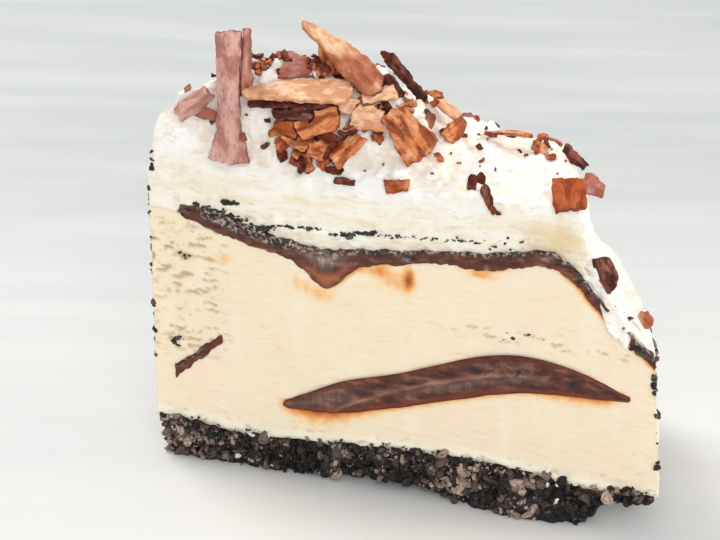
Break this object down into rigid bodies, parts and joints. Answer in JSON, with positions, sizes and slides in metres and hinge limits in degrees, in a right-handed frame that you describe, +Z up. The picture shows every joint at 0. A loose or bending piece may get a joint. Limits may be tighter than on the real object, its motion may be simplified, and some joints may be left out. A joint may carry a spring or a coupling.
{
  "type": "ice cream cake slice",
  "caption": "Wedge of ice cream cake on a dark crumb crust, with fudge running through it, whipped cream on top and chocolate shavings heaped on the cream.",
  "frame": {"origin": "centre of the slice's bounding box, on the surface that the crust rests on", "axes": "+Z up, +X from the tip of the slice to its outer rim, -Y out of the cut face that shows in the picture"},
  "size_m": [0.1104, 0.0542, 0.104],
  "materials": {
    "crust": "matt, coarse dark cookie crumbs",
    "ice_cream": "soft satin, pale coffee cream with fine pits and knife streaks",
    "fudge": "glossy dark brown with lighter streaks",
    "whipped_cream": "soft satin off-white",
    "dark_chocolate": "satin dark red-brown",
    "mauve_chocolate": "dull mauve-brown with bloom",
    "milk_chocolate": "satin orange-brown, ridged by the shaving blade",
    "pale_chocolate": "satin pale caramel-brown"
  },
  "bodies": {
    "root": {"crust": "crust", "ice_cream": "ice_cream", "fudge_lens": "fudge", "fudge_streak": "fudge", "fudge_layer": "fudge", "whipped_cream": "whipped_cream", "chocolate_stick": "mauve_chocolate", "chocolate_stick_fold": "mauve_chocolate", "chocolate_spear": "pale_chocolate", "chocolate_plank": "pale_chocolate", "chocolate_under_plank": "dark_chocolate", "chocolate_prop": "milk_chocolate", "chocolate_mauve_flake": "mauve_chocolate", "chocolate_tip_flake": "mauve_chocolate", "chocolate_tip_foot": "mauve_chocolate", "chocolate_leaf": "milk_chocolate", "chocolate_strip_long": "dark_chocolate", "chocolate_strip_short": "dark_chocolate", "chocolate_ridge_brown": "milk_chocolate", "chocolate_shoulder_small": "milk_chocolate", "chocolate_shoulder_dark": "dark_chocolate", "chocolate_shoulder_block": "milk_chocolate", "chocolate_shoulder_wing": "mauve_chocolate", "chocolate_rim_shard": "dark_chocolate", "chocolate_rim_chip": "pale_chocolate", "chocolate_crown_dark": "dark_chocolate", "chocolate_crown_ridge": "milk_chocolate", "chocolate_crown_red": "milk_chocolate", "chocolate_crown_edge": "milk_chocolate", "chocolate_crown_low": "milk_chocolate", "chocolate_curl": "milk_chocolate", "chocolate_flake_upper": "pale_chocolate", "chocolate_flake_lower": "pale_chocolate", "chocolate_flake_small": "pale_chocolate", "chocolate_ridge_pale": "pale_chocolate", "chocolate_ridge_flat": "milk_chocolate", "chocolate_front_chip": "milk_chocolate", "chocolate_back_tip": "milk_chocolate", "chocolate_back_plank": "pale_chocolate", "chocolate_back_ridge": "milk_chocolate", "chocolate_back_curl": "dark_chocolate", "chocolate_back_leaf": "milk_chocolate", "chocolate_back_flake": "mauve_chocolate", "chocolate_back_chip": "dark_chocolate", "chocolate_back_block": "milk_chocolate", "chocolate_back_shoulder": "mauve_chocolate", "chocolate_back_rim": "dark_chocolate"}
  },
  "joints": []
}
